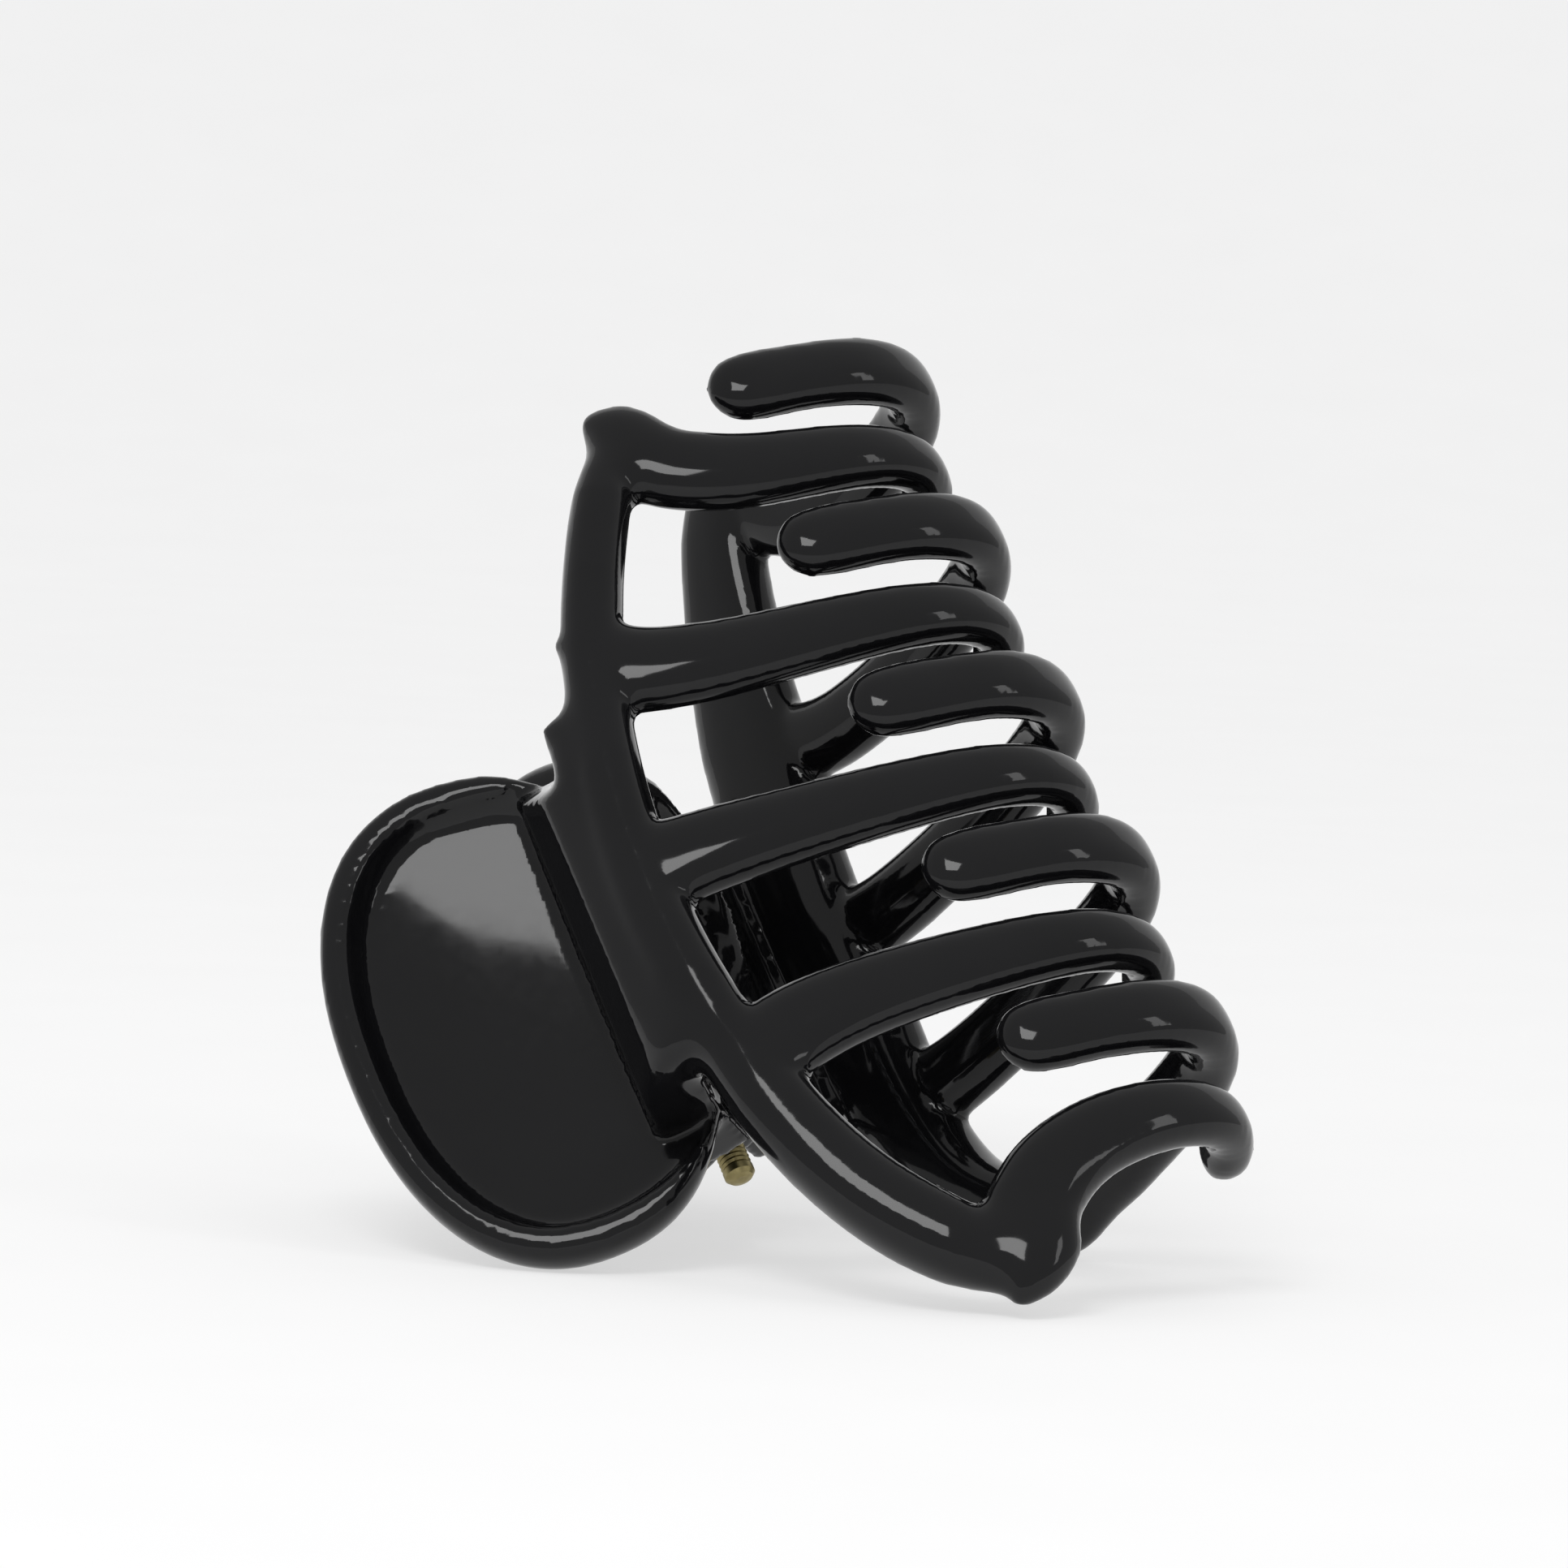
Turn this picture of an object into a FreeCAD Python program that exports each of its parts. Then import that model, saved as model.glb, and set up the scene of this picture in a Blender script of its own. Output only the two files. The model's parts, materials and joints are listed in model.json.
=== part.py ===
import FreeCAD, Part
import math
import os

V = FreeCAD.Vector

# Sprung hair claw: two interleaving hooked jaws on one hinge pin, closed by a
# torsion spring. Millimetres. Each jaw is drawn in the clip's own frame: X along
# the hinge, Z up to the thumb paddles, the front jaw on the -Y side. The rear
# jaw is drawn the same way with its own numbers, then turned half round about Z.

# what differs between the two mouldings
FRONT = {"root_pitch": 20.0,     # tine spacing where they leave the spine
         "root_shift": -4.6,     # centre of the middle tine's root along X
         "web": 0.0,             # how much deeper the spine's plate reaches
         "reach": 0.965,         # depth of the hooks against the common profile
         "tine_width": 7.3,      # at the spine
         "tip_width": 4.2,
         "hook_end": 0.83,       # share of the profile that the hooks follow
         "low_side": -1,         # which way along X the low end lies
         "low_from": 28.0,       # where the spine's low end starts to drop
         "low_drop": 3.5,        # how much deeper the low end is
         "low_reach": 3.0,       # how much further the low tine's root lies
         "paddle_half_length": 22.6,
         "paddle_centre": (-6.6, 16.3, 7.5),    # along X, out from the hinge, up
         "paddle_tilt": 17.5}    # degrees out from upright
REAR = {"root_pitch": 19.6, "root_shift": -10.4, "web": 5.0, "reach": 1.01,
        "tine_width": 6.6, "tip_width": 5.8, "hook_end": 1.0,
        "low_side": 1, "low_from": 10.0, "low_drop": 5.0, "low_reach": 0.0,
        "paddle_half_length": 20.6, "paddle_centre": (-10.0, 14.6, 7.5), "paddle_tilt": 13.0}

# jaw outline
TIP_PITCH = 16.5         # tine spacing from the belly down
STAGGER = 4.3            # quarter-pitch offset that interleaves the two jaws
BLEND_LENGTH = 4.2       # depth over which a tine swings from root to tip spacing
TINE_COUNT = 5
TINE_THICK = 4.6
LOW_LENGTH = 19.0        # length of the spine's low end
ROOT_FLARE = 1.4         # extra width where a tine meets the spine
SPINE_HEIGHT = 6.6       # spine section at the broad end
SPINE_THICK = 5.6
SPINE_END_HEIGHT = 4.6   # and at the narrow end
SPINE_END_THICK = 6.0
ARCH_TOP = 6.6           # depth of the spine's middle below the hinge axis
ARCH_RISE = 0.0062       # how fast the spine drops to each side
ARCH_CENTRE = -6.5

# hook profile: half-width and depth of the wall's middle, hinge axis at 0, 0
HOOK = [(15.6, -1.8), (19.4, 1.6), (20.3, 6.0), (19.2, 10.8), (17.3, 15.4),
        (15.2, 19.9), (13.0, 24.4), (10.7, 28.7), (8.0, 33.0), (4.4, 36.6),
        (0.4, 37.9), (-3.8, 36.4), (-7.1, 33.2), (-9.9, 29.3), (-12.4, 25.2)]

# shoulder between hinge lugs, spine and paddle
SHOULDER_LEFT = -21.0
SHOULDER_RIGHT = 11.8
SHOULDER_TOP = 1.6
SHOULDER_BOTTOM = -3.2
SHOULDER_INNER = 5.0

# thumb paddle
PADDLE_HALF_HEIGHT = 14.2
PADDLE_THICK = 4.6
PADDLE_RIM = 2.4
DISH_DEPTH = 1.9
DISH_OPEN = 1.35         # the dish runs out towards the neck, with no rim there
PADDLE_POWER = 2.25

# hinge
PIN_R = 1.25
RUN_CLEAR = 0.05
LUG_R = 3.9
LUG_OUTER = (12.0, 16.2)
LUG_INNER = (7.8, 11.6)
PIN_END_OUT = 20.6       # how far the grooved end reaches along X
PIN_END_IN = 16.8
GROOVE_PITCH = 0.42
GROOVE_DEPTH = 0.12
GROOVE_COUNT = 7

# torsion spring
WIRE_R = 0.5
COIL_R = 2.2
COIL_HALF = 6.6
COIL_TURNS = 9
LEG_LENGTH = 8.3

# how the closed clip stands: on the rims of both paddles and the rear spine's low end
DOWN = V(-0.72278, 0.4379, 0.53463)
FACING = V(-0.338, 0.395, -0.854)   # which way the row's X axis points, before levelling


def sub(a, b):
    return a.sub(b)


def closed_spline(points):
    curve = Part.BSplineCurve()
    curve.interpolate(points, True)
    return Part.Wire(curve.toShape())


def rounded_section(centre, across, through, half_w, half_t, power=2.5, count=14):
    pts = []
    for k in range(count):
        a = 2 * math.pi * (k + 0.5) / count
        c, s = math.cos(a), math.sin(a)
        u = math.copysign(abs(c) ** (2 / power), c) * half_w
        v = math.copysign(abs(s) ** (2 / power), s) * half_t
        pts.append(centre + across * u + through * v)
    return closed_spline(pts)


class Sheet:
    """The curved wall that one jaw's spine and tines follow."""

    def __init__(self, kind):
        self.kind = kind
        self.curve = Part.BSplineCurve()
        self.curve.interpolate([V(0, -a, -d * kind["reach"]) for a, d in HOOK])
        self.length = self.curve.length()

    def at(self, s):
        """Point on the middle of the wall and its inward normal, at arc length s."""
        u = self.curve.parameterAtDistance(max(0.0, min(s, self.length)))
        t = V(*self.curve.tangent(u)[0])
        t.normalize()
        return self.curve.value(u), V(0, -t.z, t.y)

    def wall(self, x, s):
        p = self.at(s)[0]
        return V(x, p.y, p.z)

    def arc_at_depth(self, depth):
        lo, hi = 0.0, 0.62 * self.length
        for _ in range(40):
            mid = (lo + hi) / 2
            if -self.at(mid)[0].z < depth:
                lo = mid
            else:
                hi = mid
        return (lo + hi) / 2

    def arch_depth(self, x):
        u = x - ARCH_CENTRE
        past = max(0.0, self.kind["low_side"] * x - self.kind["low_from"]) / LOW_LENGTH
        return ARCH_TOP + ARCH_RISE * u * u + self.kind["low_drop"] * past ** 3


def tine_path(sheet, i):
    steps = (TINE_COUNT - 1) / 2 - i
    root_x = sheet.kind["root_shift"] + steps * sheet.kind["root_pitch"]
    if steps * sheet.kind["low_side"] == (TINE_COUNT - 1) / 2:
        root_x += sheet.kind["low_side"] * sheet.kind["low_reach"]
    tip_x = -STAGGER + steps * TIP_PITCH
    s0 = sheet.arc_at_depth(sheet.arch_depth(root_x))

    def x_at(s):
        d = s - s0
        return tip_x + (root_x - tip_x) * math.exp(-max(d, 0.0) / BLEND_LENGTH)

    return s0, x_at


def tine(sheet, i):
    s0, x_at = tine_path(sheet, i)
    end = sheet.length * sheet.kind["hook_end"]
    root_w, tip_w = sheet.kind["tine_width"], sheet.kind["tip_width"]
    stops = [s0 - 2.2, s0 - 1.4, s0 + 0.6, s0 + 3.0, s0 + 6.0, s0 + 10.0]
    n = 8
    first = stops[-1]
    stops += [first + (end - 3.0 - first) * k / n for k in range(1, n + 1)]
    stops += [end - 1.4, end - 0.45, end - 0.02]
    wires = []
    for s in stops:
        left = end - s
        shrink = 1.0 if left >= 3.0 else max(0.25, math.sqrt(max(0.0, 1 - (1 - left / 3.0) ** 2)))
        if s < s0:
            shrink = 0.45 if s < s0 - 2.0 else 0.8
        along = max(0.0, s - s0) / (end - s0)
        half_w = (root_w + (tip_w - root_w) * along) / 2
        half_w += ROOT_FLARE / 2 * math.exp(-max(0.0, s - s0) / 3.0)
        half_t = TINE_THICK / 2 * (1.0 - 0.18 * along)
        c = sheet.wall(x_at(s), s)
        straight = sub(sheet.wall(0, min(s + 0.4, end)), sheet.wall(0, s - 0.4))
        lean = min(1.0, 0.35 + max(0.0, s - s0) / 9.0)
        t = straight + V(x_at(s + 0.4) - x_at(s - 0.4), 0, 0) * lean
        t.normalize()
        n_in = sheet.at(s)[1]
        across = t.cross(n_in)
        across.normalize()
        through = across.cross(t)
        wires.append(rounded_section(c, across, through, half_w * shrink, half_t * shrink))
    return Part.makeLoft(wires, True, False)


def spine(sheet):
    left = tine_path(sheet, TINE_COUNT - 1)[1](0) - 0.4
    right = tine_path(sheet, 0)[1](0) + 0.4
    count = 15
    web = sheet.kind["web"]

    def arc(x):
        inside = min(1.0, 3.0 * min(x - left, right - x) / (right - left))
        return sheet.arc_at_depth(sheet.arch_depth(x)) + web / 2 * max(0.0, inside)

    def mid(x):
        return sheet.wall(x, arc(x))

    wires = []
    for k in range(count):
        f = k / (count - 1)
        x = left + (right - left) * f
        t = sub(mid(x + 0.3), mid(x - 0.3))
        t.normalize()
        across = t.cross(sheet.at(arc(x))[1])
        across.normalize()
        through = across.cross(t)
        inside = max(0.0, min(1.0, 3.0 * min(f, 1 - f)))
        half_h = (SPINE_HEIGHT + (SPINE_END_HEIGHT - SPINE_HEIGHT) * f + web * inside) / 2
        half_t = (SPINE_THICK + (SPINE_END_THICK - SPINE_THICK) * f) / 2
        edge = min(f, 1 - f) * (count - 1)
        shrink = 0.62 if edge < 0.5 else 1.0
        wires.append(rounded_section(mid(x) + through * 0.4, across, through, half_h * shrink,
                                     half_t * shrink, 2.6))
    return Part.makeLoft(wires, True, False)


def shoulder():
    a = SHOULDER_INNER
    pts = [(a, SHOULDER_TOP), (13.0, SHOULDER_TOP), (17.8, 0.6), (21.2, -2.0), (22.6, -6.0),
           (18.2, -6.6), (16.6, -4.4), (13.0, SHOULDER_BOTTOM - 0.3), (a, SHOULDER_BOTTOM)]
    wire = Part.makePolygon([V(SHOULDER_LEFT, -y, z) for y, z in pts + pts[:1]])
    solid = Part.Face(wire).extrude(V(SHOULDER_RIGHT - SHOULDER_LEFT, 0, 0))
    ends = []
    for e in solid.Edges:
        box = e.BoundBox
        along_x = box.XLength > 1.0
        if along_x and box.YMin < -12.0:
            ends.append(e)
    return solid.makeFillet(1.2, ends)


def lug(x0, x1, bore):
    body = Part.makeCylinder(LUG_R, x1 - x0, V(x0, 0, 0), V(1, 0, 0))
    web = Part.makeBox(x1 - x0, SHOULDER_INNER + 2.0, SHOULDER_TOP - SHOULDER_BOTTOM,
                       V(x0, -SHOULDER_INNER - 2.0, SHOULDER_BOTTOM))
    return body.fuse(web), Part.makeCylinder(bore, x1 - x0 + 2, V(x0 - 1, 0, 0), V(1, 0, 0))


def paddle(kind):
    tilt = math.radians(kind["paddle_tilt"])
    up = V(0, -math.sin(tilt), math.cos(tilt))
    out = V(0, -math.cos(tilt), -math.sin(tilt))
    cx, cy, cz = kind["paddle_centre"]
    centre = V(cx, -cy, cz)

    def outline(grow, lift, open_below=1.0):
        pts = []
        for k in range(28):
            a = 2 * math.pi * k / 28
            c, s = math.cos(a), math.sin(a)
            u = math.copysign(abs(c) ** (2 / PADDLE_POWER), c) * (kind["paddle_half_length"] + grow)
            v = math.copysign(abs(s) ** (2 / PADDLE_POWER), s) * (PADDLE_HALF_HEIGHT + grow)
            v *= open_below if s < 0 else 1.0
            pts.append(centre + V(1, 0, 0) * u + up * v + out * lift)
        return closed_spline(pts)

    plate = Part.makeLoft([outline(-1.6, -PADDLE_THICK), outline(-0.4, -PADDLE_THICK * 0.72),
                           outline(0.0, -PADDLE_THICK * 0.38), outline(-0.3, -0.35),
                           outline(-1.1, 0.0)], True, False)
    dish = Part.makeLoft([outline(-PADDLE_RIM - 1.5, -DISH_DEPTH, DISH_OPEN),
                          outline(-PADDLE_RIM - 0.5, -DISH_DEPTH * 0.62, DISH_OPEN),
                          outline(-PADDLE_RIM, 0.0, DISH_OPEN), outline(-PADDLE_RIM + 0.4, 1.0, DISH_OPEN)],
                         True, False)
    return plate.cut(dish)


def jaw(kind, bore):
    sheet = Sheet(kind)
    solid = spine(sheet)
    for i in range(TINE_COUNT):
        solid = solid.fuse(tine(sheet, i))
    solid = solid.fuse(shoulder())
    solid = solid.fuse(paddle(kind))
    cuts = []
    for x0, x1 in ((-LUG_OUTER[1], -LUG_OUTER[0]), (LUG_INNER[0], LUG_INNER[1])):
        body, hole = lug(x0, x1, bore)
        solid = solid.fuse(body)
        cuts.append(hole)
    for hole in cuts:
        solid = solid.cut(hole)
    return solid.removeSplitter()


def hinge_pin():
    r = PIN_R
    pts = [V(PIN_END_IN, 0, 0), V(PIN_END_IN, r - 0.3, 0), V(PIN_END_IN - 0.3, r, 0)]
    x = -(PIN_END_OUT - 1.0) + GROOVE_PITCH * GROOVE_COUNT
    for _ in range(GROOVE_COUNT):
        pts.append(V(x, r, 0))
        pts.append(V(x - GROOVE_PITCH * 0.5, r - GROOVE_DEPTH, 0))
        x -= GROOVE_PITCH
    pts.append(V(x, r, 0))
    pts.append(V(-PIN_END_OUT + 0.45, r, 0))
    pts.append(V(-PIN_END_OUT + 0.12, r - 0.3, 0))
    pts.append(V(-PIN_END_OUT, r - 0.75, 0))
    pts.append(V(-PIN_END_OUT, 0, 0))
    face = Part.Face(Part.makePolygon(pts + [pts[0]]))
    return face.revolve(V(0, 0, 0), V(1, 0, 0), 360)


def torsion_spring():
    pts = [V(-COIL_HALF, -LEG_LENGTH, COIL_R), V(-COIL_HALF, -LEG_LENGTH * 0.5, COIL_R)]
    per_turn = 16
    total = COIL_TURNS * per_turn
    for k in range(total + 1):
        a = 2 * math.pi * k / per_turn
        x = -COIL_HALF + 2 * COIL_HALF * k / total
        pts.append(V(x, COIL_R * math.sin(a), COIL_R * math.cos(a)))
    pts += [V(COIL_HALF, LEG_LENGTH * 0.5, COIL_R), V(COIL_HALF, LEG_LENGTH, COIL_R)]
    curve = Part.BSplineCurve()
    curve.interpolate(pts)
    path = Part.Wire(curve.toShape())
    ring = Part.Wire(Part.makeCircle(WIRE_R, pts[0], V(0, 1, 0)))
    sweep = Part.BRepOffsetAPI.MakePipeShell(path)
    sweep.setFrenetMode(False)
    sweep.add(ring)
    sweep.build()
    sweep.makeSolid()
    return sweep.shape()


front = jaw(FRONT, PIN_R + RUN_CLEAR)
rear = jaw(REAR, PIN_R)
rear.rotate(V(0, 0, 0), V(0, 0, 1), 180)

nodes = {"front_jaw": front, "rear_jaw": rear, "hinge_pin": hinge_pin(),
         "torsion_spring": torsion_spring()}

row_z = DOWN * -1.0
row_z.normalize()
row_x = FACING - row_z * FACING.dot(row_z)
row_x.normalize()
row_y = row_z.cross(row_x)
stand = FreeCAD.Placement(V(0, 0, 0), FreeCAD.Rotation(row_x, row_y, row_z, "ZXY").inverted())
for name in nodes:
    nodes[name] = nodes[name].transformed(stand.toMatrix(), copy=True)
whole = Part.makeCompound(list(nodes.values())).optimalBoundingBox(False)
shift = V(-(whole.XMin + whole.XMax) / 2, -(whole.YMin + whole.YMax) / 2, -whole.ZMin)
axis = stand.Rotation.multVec(V(1, 0, 0))
print("hinge at", shift, "axis", axis)
print("rows", row_x, row_y, row_z)

os.makedirs("parts", exist_ok=True)
for name, shape in nodes.items():
    shape.translate(shift)
    print(name, shape.ShapeType, len(shape.Solids), shape.isValid(), round(shape.Volume, 1))
    solid = shape.Solids[0] if len(shape.Solids) == 1 else shape
    solid.exportStep("parts/" + name + ".step")
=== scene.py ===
import bmesh
import bpy
import json
import math
from mathutils import Matrix, Vector


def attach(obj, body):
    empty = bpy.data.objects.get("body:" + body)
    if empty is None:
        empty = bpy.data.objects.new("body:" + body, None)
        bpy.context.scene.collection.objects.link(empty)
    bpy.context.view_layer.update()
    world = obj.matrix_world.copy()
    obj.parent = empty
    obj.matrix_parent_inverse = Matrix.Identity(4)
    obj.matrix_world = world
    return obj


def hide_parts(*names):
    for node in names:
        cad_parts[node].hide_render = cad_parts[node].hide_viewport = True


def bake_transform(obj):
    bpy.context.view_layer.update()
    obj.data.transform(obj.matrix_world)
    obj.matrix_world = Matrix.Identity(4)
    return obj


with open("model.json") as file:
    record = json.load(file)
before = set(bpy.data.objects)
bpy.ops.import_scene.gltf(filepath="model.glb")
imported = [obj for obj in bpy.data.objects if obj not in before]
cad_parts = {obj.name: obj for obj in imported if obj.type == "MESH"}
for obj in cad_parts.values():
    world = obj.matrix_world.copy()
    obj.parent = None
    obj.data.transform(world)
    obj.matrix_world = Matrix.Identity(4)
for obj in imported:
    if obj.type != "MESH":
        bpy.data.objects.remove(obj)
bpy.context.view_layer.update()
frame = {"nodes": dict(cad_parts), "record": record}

MM = 0.001


# ---- Floor, lamps and camera -------------------------------------------------
# A pale sweep that curves up behind the clip, soft box lamps above and beside
# it, and a long lens a little above the floor, leaning to one side.

SWEEP_WIDTH = 6.0
SWEEP_FRONT = -2.4
SWEEP_BACK = 1.1
SWEEP_BEND = 0.9
SWEEP_HEIGHT = 2.6
SWEEP_STEPS = 24


class Value:
    """A shader socket that sums with numbers and other sockets."""

    def __init__(self, finish, socket):
        self.finish = finish
        self.socket = socket

    def sum_of(self, operation, first, second):
        return self.finish.add("ShaderNodeMath", {"operation": operation}, {0: first, 1: second})

    def __radd__(self, other):
        return self.sum_of("ADD", other, self)

    def __rsub__(self, other):
        return self.sum_of("SUBTRACT", other, self)

    def __mul__(self, other):
        return self.sum_of("MULTIPLY", self, other)

    def __rmul__(self, other):
        return self.sum_of("MULTIPLY", other, self)


class Finish:
    """A material whose nodes read Object coordinates."""

    def __init__(self, name):
        self.material = bpy.data.materials.new(name)
        self.material.use_nodes = True
        self.nodes = self.material.node_tree.nodes
        self.links = self.material.node_tree.links
        self.shader = self.nodes["Principled BSDF"]
        self.place = self.add("ShaderNodeTexCoord", {}, {}, "Object")

    def add(self, kind, settings, inputs, output=0):
        node = self.nodes.new(kind)
        for name, value in settings.items():
            setattr(node, name, value)
        self.feed(node, inputs)
        return Value(self, node.outputs[output])

    def feed(self, node, inputs):
        for key, value in inputs.items():
            if isinstance(value, Value):
                self.links.new(value.socket, node.inputs[key])
            else:
                node.inputs[key].default_value = value

    def noise(self, scale, detail=2.0, roughness=0.5):
        return self.add("ShaderNodeTexNoise", {}, {"Vector": self.place, "Scale": scale, "Detail": detail,
                                                   "Roughness": roughness})

    def blend(self, mask, dark, light):
        return self.add("ShaderNodeMix", {"data_type": "RGBA"}, {0: mask, 6: (*dark, 1), 7: (*light, 1)}, 2)

    def bump(self, height, distance, strength):
        return self.add("ShaderNodeBump", {}, {"Height": height, "Distance": distance, "Strength": strength})

    def coat(self, inputs):
        self.feed(self.shader, inputs)


def add_object(name, mesh, finish=None):
    obj = bpy.data.objects.new(name, mesh)
    bpy.context.scene.collection.objects.link(obj)
    if finish:
        mesh.materials.clear()
        mesh.materials.append(finish.material)
    return obj


paper = Finish("pale_paper")
paper_tooth = paper.noise(40.0, 2.0, 0.5)
paper.coat({"Base Color": paper.blend(paper_tooth, (0.44, 0.44, 0.442), (0.47, 0.47, 0.472)), "Roughness": 0.95,
            "Specular IOR Level": 0.0, "Emission Color": (1.0, 1.0, 1.0, 1), "Emission Strength": 0.58})

bm = bmesh.new()
edge = [bm.verts.new((-SWEEP_WIDTH / 2, SWEEP_FRONT, 0)), bm.verts.new((-SWEEP_WIDTH / 2, SWEEP_BACK, 0))]
for step in range(1, SWEEP_STEPS + 1):
    turn = math.pi / 2 * step / SWEEP_STEPS
    edge.append(bm.verts.new((-SWEEP_WIDTH / 2, SWEEP_BACK + SWEEP_BEND * math.sin(turn),
                              SWEEP_BEND * (1 - math.cos(turn)))))
edge.append(bm.verts.new((-SWEEP_WIDTH / 2, SWEEP_BACK + SWEEP_BEND, SWEEP_HEIGHT)))
lines = [bm.edges.new(pair) for pair in zip(edge, edge[1:])]
made = bmesh.ops.extrude_edge_only(bm, edges=lines)
bmesh.ops.translate(bm, verts=[v for v in made["geom"] if isinstance(v, bmesh.types.BMVert)],
                    vec=(SWEEP_WIDTH, 0, 0))
for face in bm.faces:
    face.smooth = True
bmesh.ops.recalc_face_normals(bm, faces=bm.faces)
mesh = bpy.data.meshes.new("sweep")
bm.to_mesh(mesh)
bm.free()
sweep = add_object("sweep", mesh, paper)

world = bpy.data.worlds.new("studio")
bpy.context.scene.world = world
world.use_nodes = True
world.node_tree.nodes["Background"].inputs["Color"].default_value = (1, 1, 1, 1)
world.node_tree.nodes["Background"].inputs["Strength"].default_value = 0.55


def soft_box(name, place, aim, width, height, watts):
    lamp = bpy.data.lights.new(name, "AREA")
    lamp.shape = "RECTANGLE"
    lamp.size = width
    lamp.size_y = height
    lamp.energy = watts
    obj = bpy.data.objects.new(name, lamp)
    obj.location = place
    obj.rotation_euler = (Vector(aim) - Vector(place)).to_track_quat("-Z", "Y").to_euler()
    bpy.context.scene.collection.objects.link(obj)


soft_box("top_box", (-0.156, -0.489, 0.631), (0, 0, 0.03), 0.34, 0.26, 1.9)
soft_box("right_strip", (0.75, -0.45, 0.50), (0, 0, 0.04), 0.12, 0.5, 0.5)

CAMERA_PLACE = Vector((-0.0024, -0.6276, 0.0795))
CAMERA_AIM = Vector((-0.00051, 0.00236, 0.0362))
CAMERA_LEAN = math.radians(2.24)
CAMERA_LENS = 181.7

camera = bpy.data.cameras.new("camera")
camera.lens = CAMERA_LENS
camera.sensor_width = 36
camera.clip_start = 0.01
camera.clip_end = 20
viewer = bpy.data.objects.new("camera", camera)
forward = (CAMERA_AIM - CAMERA_PLACE).normalized()
level = forward.cross(Vector((0, 0, 1))).normalized()
upright = level.cross(forward)
right = level * math.cos(CAMERA_LEAN) + upright * math.sin(CAMERA_LEAN)
up = right.cross(forward)
turned = Matrix((right, up, -forward)).transposed().to_4x4()
viewer.matrix_world = Matrix.Translation(CAMERA_PLACE) @ turned
bpy.context.scene.collection.objects.link(viewer)
bpy.context.scene.camera = viewer
bpy.context.scene.view_settings.view_transform = "Standard"


# ---- Jaws --------------------------------------------------------------------
# Two injection mouldings in polished black plastic. Spine, tines, lugs and
# thumb paddle are one piece each, so every corner has a moulded fillet.

FILLET_GRID = 0.42 * MM
FILLET_ROUNDS = 7

black = Finish("polished_black_plastic")
flow = black.noise(90.0, 3.0, 0.55)
handling = black.noise(900.0, 2.0, 0.5)
black.coat({"Base Color": black.blend(flow, (0.003, 0.003, 0.0034), (0.007, 0.007, 0.008)),
            "Roughness": 0.04 + 0.07 * handling * (1 - 0.4 * flow), "IOR": 1.38,
            "Normal": black.bump(black.noise(130.0, 1.0, 0.4), 0.04 * MM, 0.6)})

PADDLE_UP = 7.5 * MM
DISH_FLOOR = 1.9 * MM
DISH_HOLLOW = 1.1 * MM
DISH_POWER = 2.25
DISH_OPEN = 1.35
PADDLES = {"front_jaw": {"side": -1, "half": (20.2 * MM, 11.8 * MM), "along": -6.6 * MM, "out": 16.3 * MM,
                         "tilt": math.radians(17.5)},
           "rear_jaw": {"side": 1, "half": (18.2 * MM, 11.8 * MM), "along": 10.0 * MM, "out": 14.6 * MM,
                        "tilt": math.radians(13.0)}}

joint = next(j for j in frame["record"]["behaviour"]["joints"] if j["name"] == "jaw_hinge")
hinge = Vector(joint["pos_m"])
along = -Vector(joint["axis"]).normalized()
upward = Vector((-0.8338, 0.13762, -0.53463))
upward = (upward - along * upward.dot(along)).normalized()
rearward = upward.cross(along)


NECK_CUT = ((11.7, -13.7), (12.8, -13.7), (12.8, -25.0), (3.2, -25.0))
NECK_CUT_LOW = -3.7
NECK_CUT_TALL = 8.0


def cut_neck(obj, side):
    """Slope the shoulder's end down to the spine."""
    bm = bmesh.new()
    foot = [bm.verts.new(hinge - (along * x + rearward * y) * (side * MM) + upward * (NECK_CUT_LOW * MM))
            for x, y in NECK_CUT]
    made = bmesh.ops.extrude_face_region(bm, geom=[bm.faces.new(foot)])
    bmesh.ops.translate(bm, verts=[v for v in made["geom"] if isinstance(v, bmesh.types.BMVert)],
                        vec=upward * (NECK_CUT_TALL * MM))
    bmesh.ops.recalc_face_normals(bm, faces=bm.faces)
    mesh = bpy.data.meshes.new("neck_cut")
    bm.to_mesh(mesh)
    bm.free()
    cutter = add_object("neck_cut", mesh)
    slope = obj.modifiers.new("slope", "BOOLEAN")
    slope.operation = "DIFFERENCE"
    slope.solver = "EXACT"
    slope.object = cutter
    return cutter


def hollow_dish(mesh, paddle):
    """Sink the dish's flat floor to a shallow bowl that the thumb fits."""
    tilt, side = paddle["tilt"], paddle["side"]
    lift = rearward * (side * math.sin(tilt)) + upward * math.cos(tilt)
    face = rearward * (side * math.cos(tilt)) - upward * math.sin(tilt)
    centre = hinge + along * paddle["along"] + rearward * (side * paddle["out"]) + upward * PADDLE_UP
    half_long, half_tall = paddle["half"]
    floor = [vertex for vertex in mesh.vertices
             if abs((vertex.co - centre).dot(face) + DISH_FLOOR) < 0.45 * MM and vertex.normal.dot(face) > 0.6]
    for vertex in floor:
        tall = (vertex.co - centre).dot(lift)
        spread = (abs((vertex.co - centre).dot(along)) / half_long) ** DISH_POWER
        spread += (abs(tall) / (half_tall if tall > 0 else half_tall * DISH_OPEN)) ** DISH_POWER
        if spread < 1:
            vertex.co -= face * (DISH_HOLLOW * (1 - spread))


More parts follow.
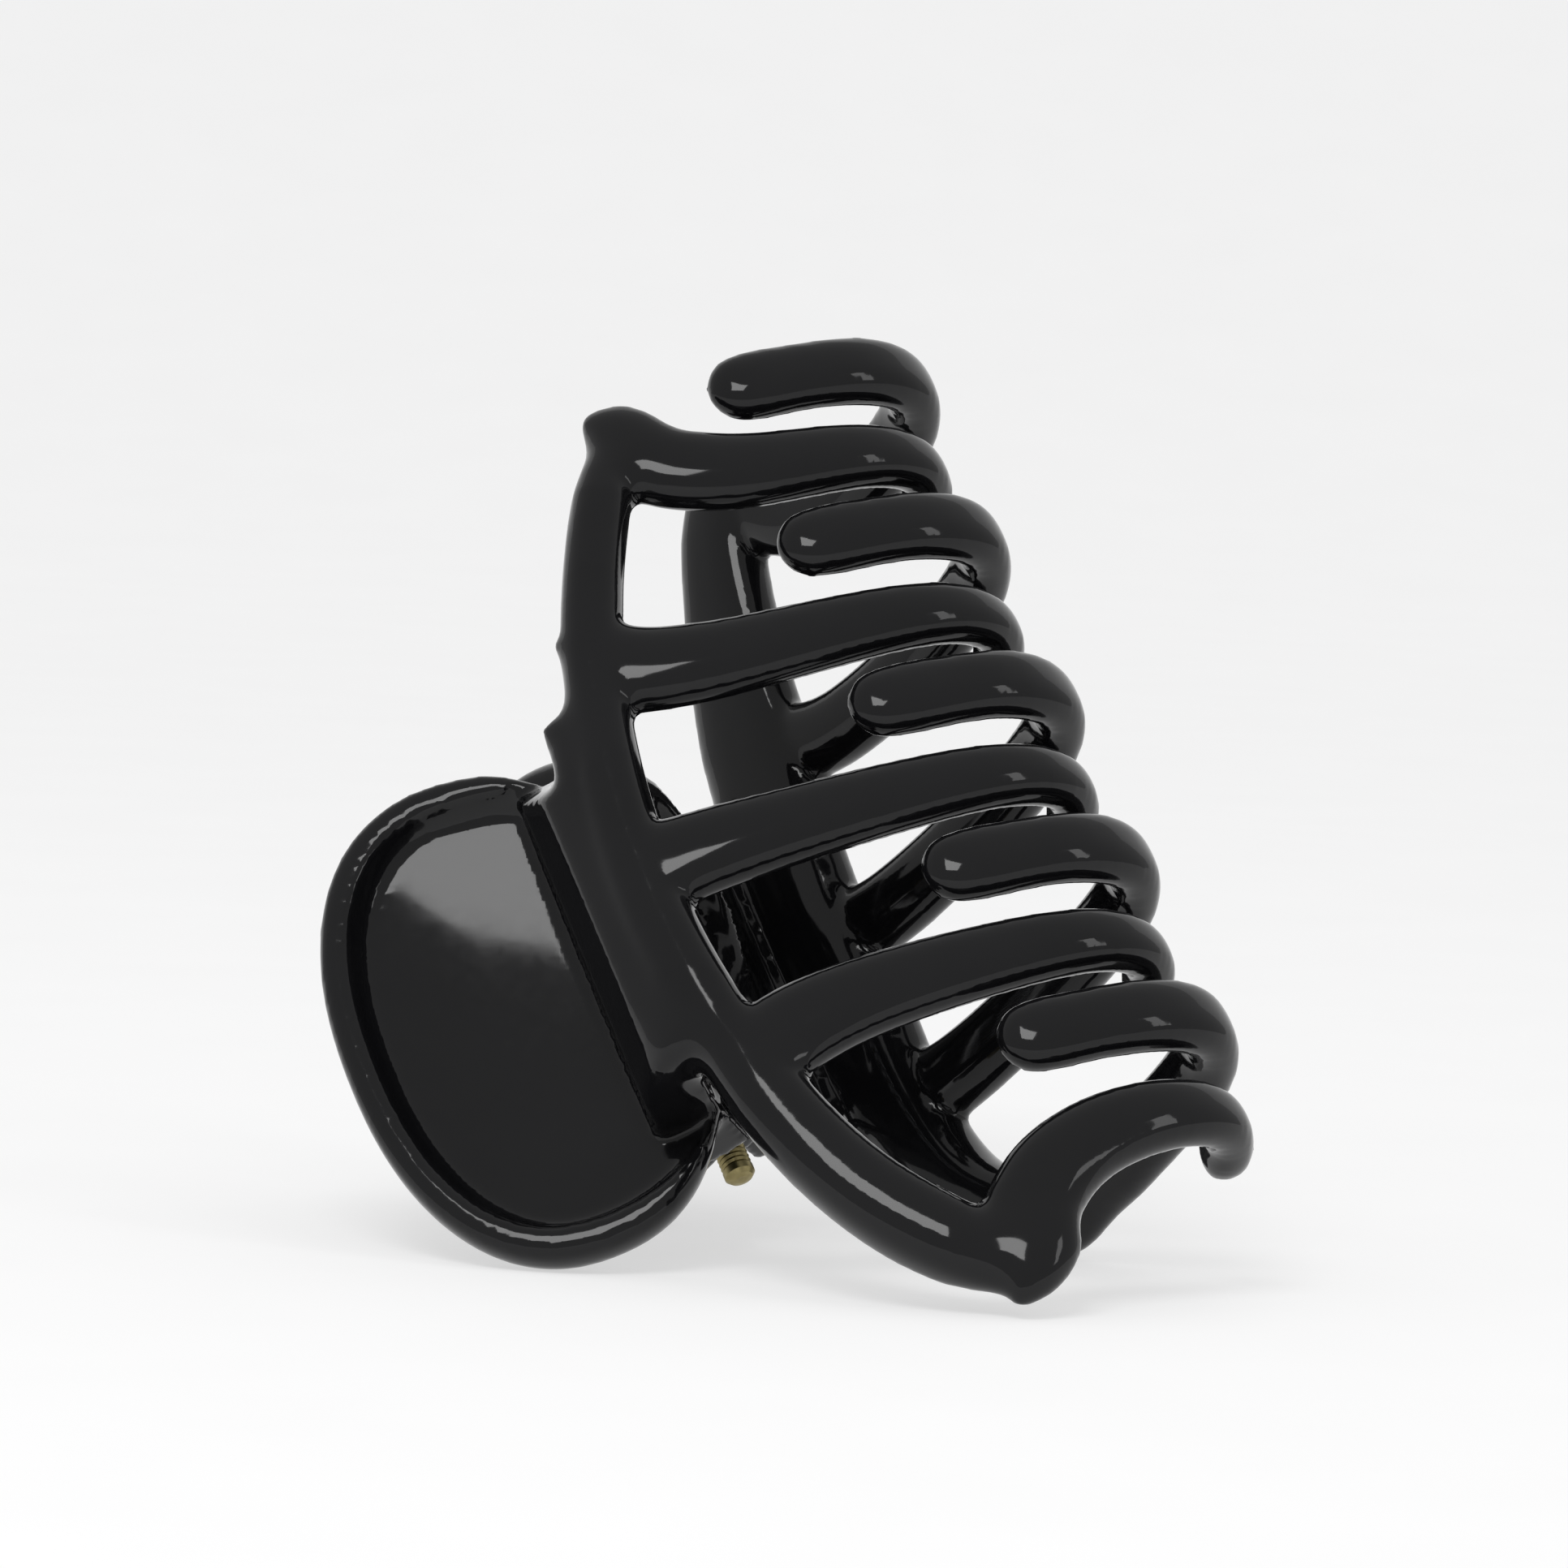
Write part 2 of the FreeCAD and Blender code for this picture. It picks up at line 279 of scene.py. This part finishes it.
SPOT_REACH = 7.0 * MM
SPOT_ROUNDS = 44
SPOT_CLOSE = 0.6
SPOTS = {"front_jaw": ((11.8, -20.8, -4.6), (-21.0, -20.8, -4.6), (35.6, -16.1, -17.5), (-48.0, -14.1, -21.4)),
         "rear_jaw": ((11.8, -20.8, -4.6), (-21.0, -20.8, -4.6), (-50.0, -16.0, -18.3), (29.2, -15.4, -19.7))}


def round_spots(mesh, node, side):
    """Round both ends of the spine and of the shoulder."""
    bm = bmesh.new()
    bm.from_mesh(mesh)
    for x, y, z in SPOTS[node]:
        spot = hinge - (along * x + rearward * y) * (side * MM) + upward * (z * MM)
        near = [((v.co - spot).length, v) for v in bm.verts if (v.co - spot).length < SPOT_REACH]
        for turn in range(SPOT_ROUNDS):
            limit = SPOT_REACH * (1 - SPOT_CLOSE * turn / SPOT_ROUNDS)
            bmesh.ops.smooth_vert(bm, verts=[v for far, v in near if far < limit], factor=0.5,
                                  use_axis_x=True, use_axis_y=True, use_axis_z=True)
    bm.to_mesh(mesh)
    bm.free()


def moulded(node, body):
    """Stand a filleted moulding in for one jaw of the frame."""
    bm = bmesh.new()
    bm.from_mesh(frame["nodes"][node].data)
    bmesh.ops.remove_doubles(bm, verts=bm.verts, dist=0.01 * MM)
    mesh = bpy.data.meshes.new(node + "_moulding")
    bm.to_mesh(mesh)
    bm.free()
    obj = add_object(node + "_moulding", mesh, black)
    cutter = cut_neck(obj, PADDLES[node]["side"])
    grid = obj.modifiers.new("grid", "REMESH")
    grid.mode = "VOXEL"
    grid.voxel_size = FILLET_GRID
    grid.use_smooth_shade = True
    soften = obj.modifiers.new("soften", "SMOOTH")
    soften.factor = 0.5
    soften.iterations = FILLET_ROUNDS
    graph = bpy.context.evaluated_depsgraph_get()
    shaped = bpy.data.meshes.new_from_object(obj.evaluated_get(graph))
    obj.modifiers.clear()
    bpy.data.objects.remove(cutter)
    obj.data = shaped
    shaped.materials.clear()
    shaped.materials.append(black.material)
    round_spots(shaped, node, PADDLES[node]["side"])
    hollow_dish(shaped, PADDLES[node])
    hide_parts(node)
    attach(obj, body)


moulded("front_jaw", "front")
moulded("rear_jaw", "rear")


# ---- Hinge pin ---------------------------------------------------------------
# Drawn brass wire, pressed in the rear jaw's lugs, with a ring-grooved end
# that stands out of the lower lug.

brass = Finish("dull_brass")
tarnish = brass.noise(700.0, 4.0, 0.6)
brass.coat({"Base Color": brass.blend(tarnish, (0.16, 0.13, 0.055), (0.48, 0.41, 0.20)), "Metallic": 1.0,
            "Roughness": 0.22 + 0.3 * (1 - tarnish),
            "Normal": brass.bump(brass.noise(2600.0, 2.0, 0.5), 0.03 * MM, 0.5)})

pin = frame["nodes"]["hinge_pin"]
pin.data.materials.clear()
pin.data.materials.append(brass.material)


# ---- Torsion spring ----------------------------------------------------------
# Bright steel wire wound round the pin, one straight leg along each shoulder,
# which pushes the jaws shut.

steel = Finish("spring_steel")
draw_marks = steel.noise(1500.0, 3.0, 0.6)
steel.coat({"Base Color": steel.blend(draw_marks, (0.42, 0.43, 0.45), (0.62, 0.63, 0.65)), "Metallic": 1.0,
            "Roughness": 0.16 + 0.16 * draw_marks, "Normal": steel.bump(draw_marks, 0.02 * MM, 0.4)})

bm = bmesh.new()
bm.from_mesh(frame["nodes"]["torsion_spring"].data)
bmesh.ops.remove_doubles(bm, verts=bm.verts, dist=0.005 * MM)
for face in bm.faces:
    face.smooth = True
mesh = bpy.data.meshes.new("spring_wire")
bm.to_mesh(mesh)
bm.free()
spring = add_object("spring_wire", mesh, steel)
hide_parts("torsion_spring")
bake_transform(spring)
